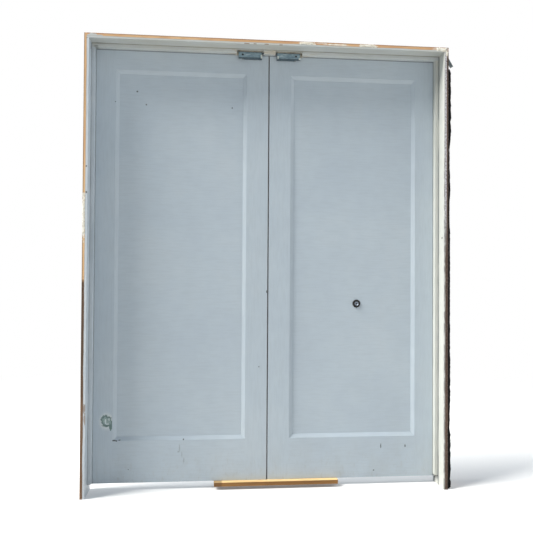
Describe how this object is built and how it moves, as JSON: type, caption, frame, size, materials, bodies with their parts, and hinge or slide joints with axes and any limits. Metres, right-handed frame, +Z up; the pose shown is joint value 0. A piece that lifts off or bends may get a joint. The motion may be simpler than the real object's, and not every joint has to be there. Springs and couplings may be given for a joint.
{
  "type": "interior double doors in their frame",
  "caption": "Pair of painted interior doors, each with a flat panel, hung on butt hinges in a timber frame with stops and magnetic catches.",
  "frame": {"origin": "on the floor, midway between the side jambs and midway through the depth of the frame", "axes": "+Z up, +Y through the wall towards the side the doors open to, +X to the right seen from the stop side"},
  "size_m": [1.7015, 0.1536, 2.069],
  "materials": {
    "jamb_timber": "white painted softwood with bare sawn edges",
    "stop_paint": "white paint on softwood, satin",
    "stile_paint": "white paint on softwood, satin, brushed along the stile",
    "rail_paint": "white paint on softwood, satin, brushed along the rail",
    "panel_paint": "white paint on a flat panel, satin, rolled",
    "dowel_timber": "bare beech",
    "batten_timber": "bare weathered softwood",
    "hinge_screw_steel": "zinc plated",
    "hinge_steel": "satin plated steel",
    "catch_steel": "zinc plated steel, dulled",
    "magnet": "ferrite, matt",
    "plate_steel": "zinc plated steel",
    "strap_steel": "galvanised steel, weathered",
    "bumper_rubber": "matt black rubber",
    "bumper_metal": "satin",
    "fastener_steel": "bright steel"
  },
  "bodies": {
    "frame": {"catch_adjusters": "fastener_steel", "catch_magnets": "magnet", "catch_mounting_screws": "fastener_steel", "catch_pole_plates": "plate_steel", "corner_nails": "fastener_steel", "fixing_strap": "strap_steel", "fixing_strap_nails": "fastener_steel", "frame_hinge_screws": "hinge_screw_steel", "head_jamb": "jamb_timber", "left_bottom_hinge_frame_leaf": "hinge_steel", "left_bottom_hinge_pin": "hinge_steel", "left_catch_housing": "catch_steel", "left_head_stop": "stop_paint", "left_jamb": "jamb_timber", "left_middle_hinge_frame_leaf": "hinge_steel", "left_middle_hinge_pin": "hinge_steel", "left_stop": "stop_paint", "left_top_hinge_frame_leaf": "hinge_steel", "left_top_hinge_pin": "hinge_steel", "middle_head_stop": "stop_paint", "right_bottom_hinge_frame_leaf": "hinge_steel", "right_bottom_hinge_pin": "hinge_steel", "right_catch_housing": "catch_steel", "right_head_stop": "stop_paint", "right_jamb": "jamb_timber", "right_middle_hinge_frame_leaf": "hinge_steel", "right_middle_hinge_pin": "hinge_steel", "right_stop": "stop_paint", "right_top_hinge_frame_leaf": "hinge_steel", "right_top_hinge_pin": "hinge_steel", "stop_brads": "fastener_steel"},
    "left_door": {"left_bottom_hinge_door_leaf": "hinge_steel", "left_bottom_rail": "rail_paint", "left_door_hinge_screws": "hinge_screw_steel", "left_dowels": "dowel_timber", "left_hinge_stile": "stile_paint", "left_meeting_stile": "stile_paint", "left_middle_hinge_door_leaf": "hinge_steel", "left_panel": "panel_paint", "left_strike_plate": "plate_steel", "left_strike_screws": "fastener_steel", "left_top_hinge_door_leaf": "hinge_steel", "left_top_rail": "rail_paint"},
    "right_door": {"right_bottom_hinge_door_leaf": "hinge_steel", "right_bottom_rail": "rail_paint", "right_door_hinge_screws": "hinge_screw_steel", "right_dowels": "dowel_timber", "right_hinge_stile": "stile_paint", "right_meeting_stile": "stile_paint", "right_middle_hinge_door_leaf": "hinge_steel", "right_panel": "panel_paint", "right_strike_plate": "plate_steel", "right_strike_screws": "fastener_steel", "right_top_hinge_door_leaf": "hinge_steel", "right_top_rail": "rail_paint", "bumper_ring": "bumper_rubber", "bumper_cup": "bumper_metal", "bumper_screw": "fastener_steel", "transport_batten": "batten_timber", "transport_batten_nails": "fastener_steel"}
  },
  "joints": [
    {"name": "left_door_hinge", "type": "hinge", "parent": "frame", "child": "left_door", "pos_m": [-0.816, 0.078, 1.0225], "axis": [0, 0, 1], "range_deg": [0, 170]},
    {"name": "right_door_hinge", "type": "hinge", "parent": "frame", "child": "right_door", "pos_m": [0.816, 0.078, 1.0225], "axis": [0, 0, -1], "range_deg": [0, 170]}
  ]
}
